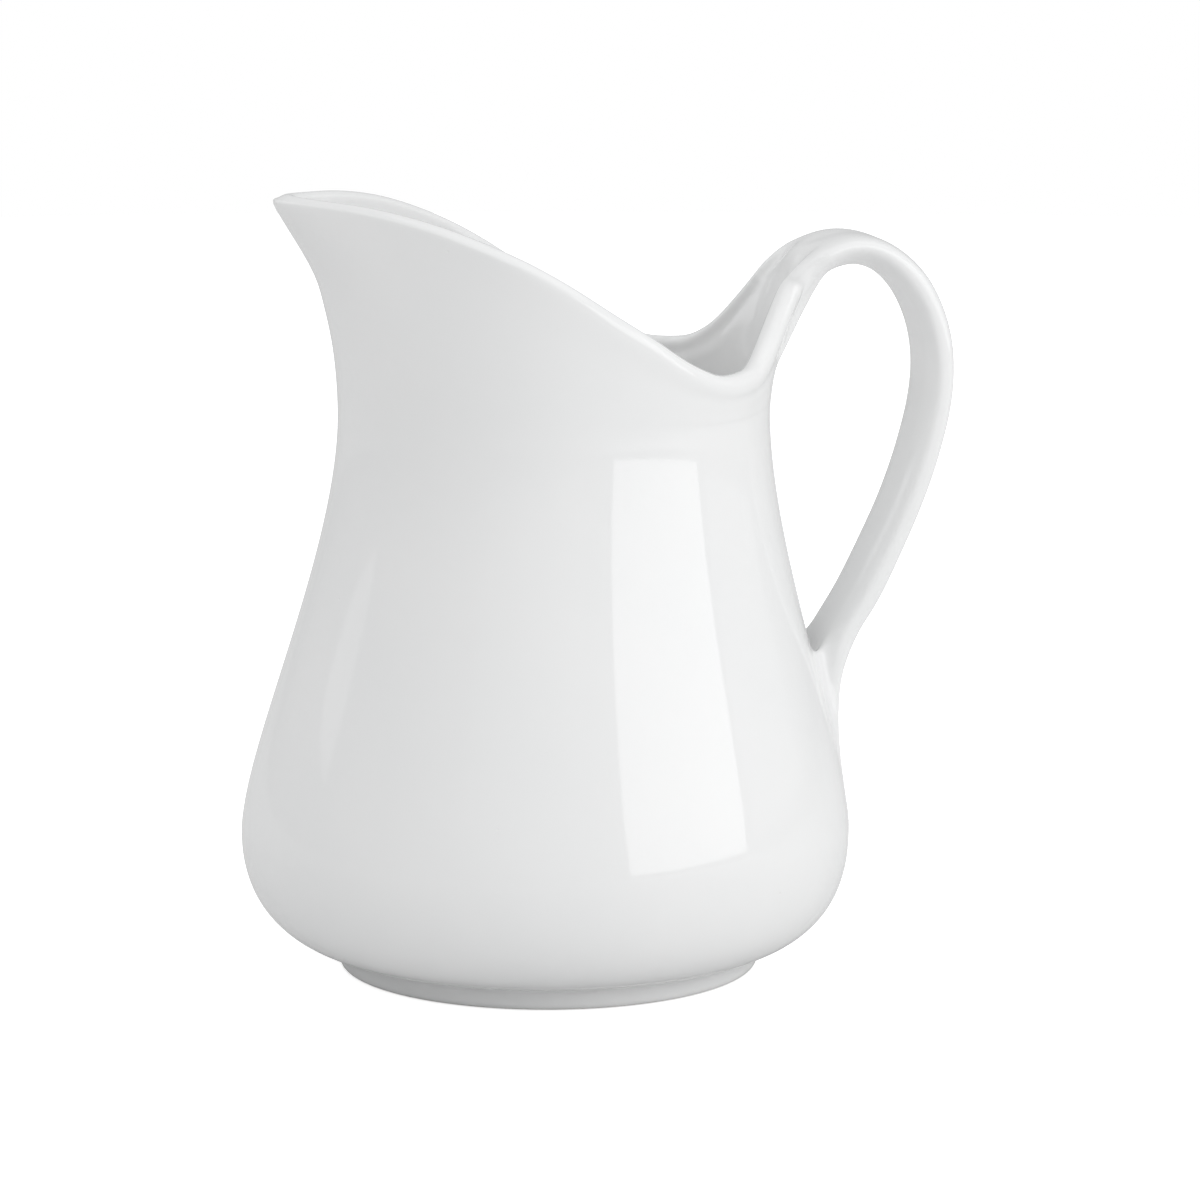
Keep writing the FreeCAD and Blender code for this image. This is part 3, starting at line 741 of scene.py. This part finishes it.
def aimed(thing, place, aim):
    thing.location = place
    heading = Vector(aim) - Vector(place)
    thing.rotation_euler = heading.to_track_quat("-Z", "Y").to_euler()
    bpy.context.scene.collection.objects.link(thing)


def softbox(name, bearing, elevation, distance, width, height, radiance):
    """A rectangular soft light, placed by its bearing and elevation from the pitcher."""
    lamp = bpy.data.lights.new(name, "AREA")
    lamp.shape = "RECTANGLE"
    lamp.size, lamp.size_y = width, height
    lamp.energy = radiance * math.pi * width * height
    turn, up = math.radians(bearing), math.radians(elevation)
    place = Vector(LAMP_AIM) + distance * Vector(
        (math.cos(turn) * math.cos(up), math.sin(turn) * math.cos(up), math.sin(up)))
    aimed(bpy.data.objects.new(name, lamp), place, LAMP_AIM)


def make_world():
    world = bpy.data.worlds.new("studio")
    bpy.context.scene.world = world
    world.use_nodes = True
    tree = world.node_tree
    soft = tree.nodes["Background"]
    soft.inputs["Color"].default_value = WORLD_COLOUR
    soft.inputs["Strength"].default_value = WORLD_STRENGTH
    seen = add_node(tree, "ShaderNodeBackground", {"Color": SEEN_COLOUR})
    rays = add_node(tree, "ShaderNodeLightPath").outputs["Is Camera Ray"]
    mix = add_node(tree, "ShaderNodeMixShader", {
        "Fac": rays, 1: soft.outputs[0], 2: seen.outputs[0]})
    plug(tree, mix.outputs[0], tree.nodes["World Output"].inputs["Surface"])


def make_floor():
    mesh = bpy.data.meshes.new("floor")
    turns = [2 * math.pi * side / FLOOR_SIDES for side in range(FLOOR_SIDES)]
    rim = [(FLOOR_RADIUS * math.cos(turn), FLOOR_RADIUS * math.sin(turn), LOW.z - FLOOR_GAP)
           for turn in turns]
    mesh.from_pydata(rim, [], [range(FLOOR_SIDES)])
    floor = bpy.data.objects.new("floor", mesh)
    bpy.context.scene.collection.objects.link(floor)
    material = bpy.data.materials.new("pale_floor")
    material.use_nodes = True
    tree = material.node_tree
    tree.nodes.remove(tree.nodes["Principled BSDF"])
    cloth = add_node(tree, "ShaderNodeBsdfDiffuse", {"Color": FLOOR_COLOUR})
    rays = add_node(tree, "ShaderNodeLightPath").outputs["Is Camera Ray"]
    lift = add_node(tree, "ShaderNodeEmission", {"Strength": Term(tree, rays) * FLOOR_LIFT})
    total = add_node(tree, "ShaderNodeAddShader", {0: cloth.outputs[0], 1: lift.outputs[0]})
    plug(tree, total.outputs[0], tree.nodes["Material Output"].inputs["Surface"])
    mesh.materials.append(material)


def make_camera():
    data = bpy.data.cameras.new("camera")
    data.lens, data.sensor_width = CAMERA_LENS, CAMERA_SENSOR
    camera = bpy.data.objects.new("camera", data)
    aimed(camera, CAMERA_PLACE, CAMERA_AIM)
    bpy.context.scene.camera = camera


class PITCHER_OT_stage(bpy.types.Operator):
    """Set up the floor, the lights and the camera"""
    bl_idname = "pitcher.stage"
    bl_label = "Stage"

    def execute(self, context):
        context.scene.view_settings.view_transform = "Standard"
        make_world()
        make_floor()
        make_camera()
        for lamp in LAMPS:
            softbox(*lamp)
        return {"FINISHED"}


class PITCHER_OT_body(bpy.types.Operator):
    """Make the porcelain pitcher"""
    bl_idname = "pitcher.body"
    bl_label = "Pitcher"

    def execute(self, context):
        size = context.scene.pitcher_sizes
        glaze = glazed_porcelain()
        mesh = bpy.data.meshes.new("porcelain_pitcher")
        form = porcelain_form(size, glaze)
        form.to_mesh(mesh)
        form.free()
        mesh.materials.append(glaze)
        mesh.shade_smooth()
        body = bpy.data.objects.new("porcelain_pitcher", mesh)
        context.scene.collection.objects.link(body)
        smooth = body.modifiers.new("smooth", "SUBSURF")
        smooth.levels = smooth.render_levels = SMOOTHING_LEVEL
        settle(body)
        keep_inside(body)
        evaluated = body.evaluated_get(context.evaluated_depsgraph_get())
        body.data = bpy.data.meshes.new_from_object(evaluated)
        body.modifiers.remove(smooth)
        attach(body, BODY)
        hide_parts(NODE)
        return {"FINISHED"}


class PITCHER_PT_tools(bpy.types.Panel):
    """Lists the pitcher's sizes and glaze, and makes it and its stage"""
    bl_idname = "PITCHER_PT_tools"
    bl_label = "Milk Pitcher"
    bl_space_type = "VIEW_3D"
    bl_region_type = "UI"
    bl_category = "Pitcher"

    def draw(self, context):
        layout = self.layout
        for group in (context.scene.pitcher_sizes, context.scene.pitcher_glaze):
            for name in group.__annotations__:
                layout.prop(group, name)
        layout.operator(PITCHER_OT_body.bl_idname)
        layout.operator(PITCHER_OT_stage.bl_idname)


CLASSES = (PitcherSizes, PitcherGlaze, PITCHER_OT_stage, PITCHER_OT_body, PITCHER_PT_tools)


def register():
    for cls in CLASSES:
        bpy.utils.register_class(cls)
    bpy.types.Scene.pitcher_sizes = bpy.props.PointerProperty(type=PitcherSizes)
    bpy.types.Scene.pitcher_glaze = bpy.props.PointerProperty(type=PitcherGlaze)


def unregister():
    del bpy.types.Scene.pitcher_glaze
    del bpy.types.Scene.pitcher_sizes
    for cls in reversed(CLASSES):
        bpy.utils.unregister_class(cls)


def main():
    register()
    bpy.ops.pitcher.stage()
    bpy.ops.pitcher.body()


if __name__ == "__main__":
    main()
